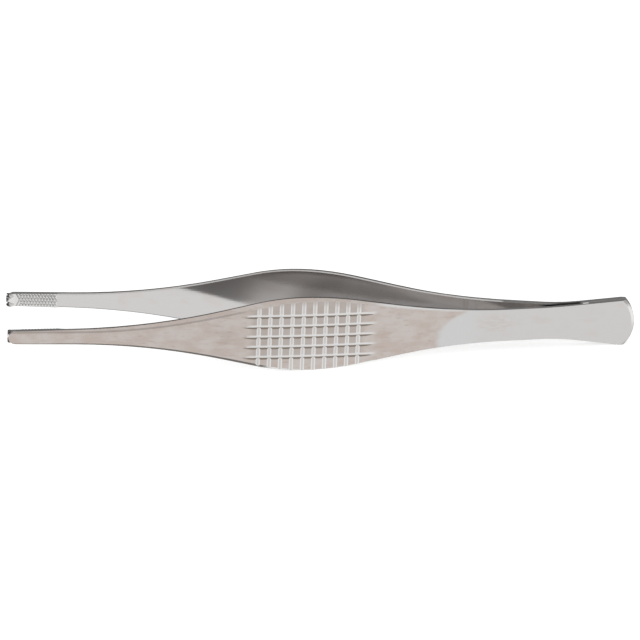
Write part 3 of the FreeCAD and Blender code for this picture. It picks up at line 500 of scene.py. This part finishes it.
    def paint_inner_face(self):
        """Painted shade on the grip's inner face high up, at its rim and low down; a painted
        highlight at the root.
        """
        tree = self.tree
        # Painted shade on the inner face: high up, under the rim and low down.
        high = tree.both(self.inner, tree.band(self.station, *HIGH_SHADE_STRETCH, soft=12.0),
                         tree.step(self.width, *HIGH_WIDTH_RAMP))
        self.paint(high, PAINTED_INNER_SHADE, strength=0.6)
        rim = tree.both(self.inner, tree.step(self.station, *RIM_REAR_RAMP),
                        tree.step(self.station, *RIM_FRONT_RAMP), self.not_up,
                        tree.step(self.level_width, *RIM_LEVEL_RAMP))
        self.paint(rim, SHADOW, strength=0.7)
        low_down = tree.both(self.inner, tree.band(self.station, *LOW_SHADE_STRETCH, soft=3.0),
                             tree.step(self.width, *LOW_WIDTH_RAMP))
        self.paint(low_down, PAINTED_INNER_SHADE, strength=0.3)
        # Painted highlight on the inner face near the root.
        root = tree.both(self.inner, tree.step(self.station, *ROOT_RAMP))
        self.paint(root, PAINTED_HIGHLIGHT, strength=0.3)

    def paint_grooves(self):
        """Painted highlights in the grooves across, painted shade on their floors; along, a
        painted highlight line over a dark lower line.
        """
        # Painted highlights on the groove flanks and upper lines, painted shade on the groove
        # floors, dirt and painted shade in the lower lines.
        self.paint(self.bright_flank, PAINTED_HIGHLIGHT)
        self.paint(self.groove_floor, LAND_TONE_AND_GROOVE_SHADE, strength=0.45)
        self.paint(self.upper_line, PAINTED_HIGHLIGHT, strength=0.85)
        self.paint(self.lower_line, GROOVE_DIRT_AND_SHADE, strength=0.9)

    def paint_edges(self):
        """Painted shade on the lower edge, the narrow top faces, and the crease beside the upper
        bevel.
        """
        tree = self.tree
        # Painted shade on the lower edge of the outer face.
        lower_edge_shade = tree.both(self.facing_down, self.outer,
                               tree.step(self.station, *LOWER_EDGE_RAMP), self.off_patch)
        self.paint(lower_edge_shade, LOWER_EDGE_SHADE)
        # Painted shade on the narrow top faces.
        top = tree.both(tree.step(self.normal_z, *TOP_RAMP),
                        tree.step(self.station, *TOP_REAR_RAMP),
                        tree.step(self.station, *TOP_FRONT_RAMP))
        self.paint(top, PAINTED_INNER_SHADE)
        # Painted shade in the crease.
        crease = tree.both(self.facing_up, self.outer,
                           tree.band(self.below, *CREASE_DEPTH, soft=0.05),
                           tree.step(self.station, *CREASE_RAMP), self.off_patch)
        self.paint(crease, CREASE_SHADE, strength=0.55)

    def paint_weld(self):
        """Painted shadow in the seam between the arms ahead of the weld, and a painted highlight
        at its end on the near arm.
        """
        tree = self.tree
        # Painted shadow in the gap between the arms.
        seam = tree.both(self.facing_up, tree.step(self.depth, *SEAM_DISTANCE_RAMP),
                         tree.band(self.station, *SEAM_STRETCH, soft=0.5))
        self.paint(seam, SHADOW)
        # Painted highlight at the weld's end, on the near arm only.
        on_near_arm = float(self.outward < 0)
        self.weld_end_highlight = tree.both(self.facing_up,
                                  tree.step(self.depth, *WELD_END_DISTANCE_RAMP),
                                  tree.band(self.station, *WELD_END_STRETCH, soft=0.2),
                                  on_near_arm)
        self.paint(self.weld_end_highlight, WELD_END_HIGHLIGHT)

    def paint_tip(self):
        """Painted highlights on the teeth and jaw face, with painted shadow on the shelf beside
        them and at the end.
        """
        tree = self.tree
        # Painted highlight on the teeth.
        toothed = tree.step(self.station, *TEETH_RAMP)
        self.paint(tree.both(toothed, tree.opposite(self.outer)), PAINTED_HIGHLIGHT, strength=0.8)
        shelf = tree.both(self.outer, toothed, tree.step(self.below, *SHELF_DEPTH_RAMP))
        off_middle = tree.math("ABSOLUTE", self.width)
        unshaded = tree.band(off_middle, *UNSHADED_TIP_WIDTH, soft=0.1)
        end = tree.both(tree.step(self.station, *TIP_RAMP), tree.opposite(unshaded),
                        tree.step(self.below, *TIP_DEPTH_RAMP))
        self.paint(tree.math("MAXIMUM", shelf, end), SHADOW, strength=0.9)
        # Painted highlight on the jaw face.
        self.jaw = tree.both(self.inner, tree.step(self.station, *JAW_RAMP))
        self.paint(self.jaw, PAINTED_HIGHLIGHT, strength=0.8)

    def edge_normal(self):
        """Rounded edges, but near the heel the broken inner ones lie flush with the top."""
        tree = self.tree
        fine_work = tree.math("ADD", tree.step(self.station, *FINE_WORK_RAMP),
                              tree.math("ADD", self.inner, self.in_patch), clamp=True)
        radius = tree.between(fine_work, EDGE_RADIUS, FINE_EDGE_RADIUS)
        flush = tree.both(tree.step(self.station, *FLUSH_RAMP), self.facing_up,
                          tree.opposite(self.outer))
        return tree.turn(flush, tree.rounded(radius, samples=6), (0, 0, 1))

    def turned_normal(self):
        """Normals turned sideways in the bright lines, on the jaw face and at the weld's end."""
        tree = self.tree
        amount = tree.math("ADD", tree.math("MULTIPLY", self.upper_line, LINE_TURN),
                           tree.math("MULTIPLY", self.jaw, JAW_TURN), clamp=True)
        amount = tree.math("MAXIMUM", amount,
                           tree.math("MULTIPLY", self.weld_end_highlight, WELD_END_TURN))
        side = tree.add("ShaderNodeCombineXYZ")
        tree.feed(side.inputs["Y"], tree.between(self.jaw, self.outward, -self.outward))
        unit = tree.add("ShaderNodeVectorMath", operation="NORMALIZE")
        tree.feed(unit.inputs[0], tree.turn(amount, self.edge_normal(), side.outputs[0]))
        return unit.outputs[0]

    def add_shader(self):
        """Polished inside, satin outside, with a fine grain across the arm."""
        tree = self.tree
        grain = tree.noise(self.spot, scale=6.0, stretch=(1, 0.15, 0.15), detail=3.0)
        scuff = tree.noise(self.spot, scale=3.0, stretch=(0.1, 1, 1), detail=3.0)
        roughness = tree.between(self.outer, POLISHED_ROUGHNESS, SATIN_ROUGHNESS)
        roughness = tree.math("ADD", roughness, tree.math("MULTIPLY", self.jaw, JAW_ROUGHNESS))
        roughness = tree.math("ADD", roughness, tree.math("MULTIPLY", grain, GRAIN_ROUGHNESS))
        bump = tree.add("ShaderNodeBump")
        bump.inputs["Strength"].default_value = GRAIN_STRENGTH
        bump.inputs["Distance"].default_value = GRAIN_DEPTH
        tree.feed(bump.inputs["Height"], tree.math("ADD", grain, scuff))
        tree.feed(bump.inputs["Normal"], self.turned_normal())
        shader = tree.add("ShaderNodeBsdfPrincipled")
        shader.inputs["Metallic"].default_value = 1.0
        tree.feed(shader.inputs["Base Color"], self.colour)
        tree.feed(shader.inputs["Roughness"], roughness)
        tree.feed(shader.inputs["Normal"], bump.outputs["Normal"])
        tree.show("ShaderNodeOutputMaterial", shader.outputs["BSDF"])


def world():
    """White studio: brightest in front, darker low behind the object and at the horizon."""
    studio = bpy.data.worlds.new("studio")
    bpy.context.scene.world = studio
    studio.use_nodes = True
    tree = NodeTree(studio.node_tree)
    _, backward, rise = tree.split(tree.add("ShaderNodeTexCoord").outputs["Generated"])
    level = tree.between(tree.step(rise, *SKY_RAMP), HORIZON_LEVEL, SKY_LEVEL)
    front = tree.both(tree.step(backward, *FRONT_RAMP), tree.step(rise, *FRONT_RISE_RAMP))
    level = tree.between(front, level, FRONT_LEVEL)
    back = tree.both(tree.step(backward, *BACK_RAMP), tree.step(rise, *BACK_RISE_RAMP))
    level = tree.between(back, level, BACK_LEVEL)
    seen = tree.add("ShaderNodeLightPath").outputs["Is Camera Ray"]
    background = tree.add("ShaderNodeBackground")
    tree.feed(background.inputs["Strength"], tree.between(seen, level, 1.0))
    tree.show("ShaderNodeOutputWorld", background.outputs["Background"])


def mirrored_floor(tree):
    """The floor as the steel reflects it: a painted reflection, shaded beside the near arm's
    inner face, with a painted spot of light.
    """
    along, across, _ = tree.split(tree.add("ShaderNodeTexCoord").outputs["Object"])
    beside = tree.between(tree.step(along, *FLOOR_GRIP_RAMP), FLOOR_NECK, FLOOR_GRIP)
    spot = tree.band(along, *FLOOR_SPOT_STRETCH, soft=FLOOR_SPOT_SOFT)
    beside = tree.math("ADD", beside, tree.math("MULTIPLY", spot, FLOOR_SPOT))
    ahead = tree.between(tree.step(along, *FLOOR_HEEL_RAMP), FLOOR_AHEAD, FLOOR_HEEL)
    shaded = tree.both(tree.step(across, *FLOOR_FRONT_RAMP),
                       tree.step(across, *FLOOR_BACK_RAMP))
    mirrored = tree.add("ShaderNodeEmission")
    tree.feed(mirrored.inputs["Strength"], tree.between(shaded, ahead, beside))
    return mirrored.outputs["Emission"]


def floor_material():
    """White and shadowed as seen; in the steel's reflections it glows with painted light and
    shade.
    """
    material, tree = node_material("white_floor")
    paths = tree.add("ShaderNodeLightPath")
    diffuse = tree.add("ShaderNodeBsdfDiffuse")
    diffuse.inputs["Color"].default_value = FLOOR_WHITE
    glow = tree.add("ShaderNodeEmission")
    tree.feed(glow.inputs["Strength"],
              tree.math("MULTIPLY", paths.outputs["Is Camera Ray"], FLOOR_GLOW))
    seen = tree.add("ShaderNodeAddShader")
    tree.feed(seen.inputs[0], diffuse.outputs["BSDF"])
    tree.feed(seen.inputs[1], glow.outputs["Emission"])
    choice = tree.add("ShaderNodeMixShader")
    tree.feed(choice.inputs[0], paths.outputs["Is Glossy Ray"])
    tree.feed(choice.inputs[1], seen.outputs["Shader"])
    tree.feed(choice.inputs[2], mirrored_floor(tree))
    tree.show("ShaderNodeOutputMaterial", choice.outputs["Shader"])
    return material


def floor():
    """White surface that the forceps lies on."""
    corners = [(-FLOOR_HALF, -FLOOR_HALF, 0), (FLOOR_HALF, -FLOOR_HALF, 0),
               (FLOOR_HALF, FLOOR_HALF, 0), (-FLOOR_HALF, FLOOR_HALF, 0)]
    mesh = bpy.data.meshes.new("floor")
    mesh.from_pydata(corners, [], [(0, 1, 2, 3)])
    mesh.materials.append(floor_material())
    surface = bpy.data.objects.new("floor", mesh)
    bpy.context.scene.collection.objects.link(surface)


def dress(name, material):
    """Give one arm its material."""
    mesh = frame["nodes"][name].data
    mesh.materials.clear()
    mesh.materials.append(material)


dress("double_tooth_arm", ArmSteel("near_steel", outward=-1).material)
dress("single_tooth_arm", ArmSteel("far_steel", outward=1).material)
world()
floor()
add_camera()
bpy.context.scene.view_settings.view_transform = "Standard"
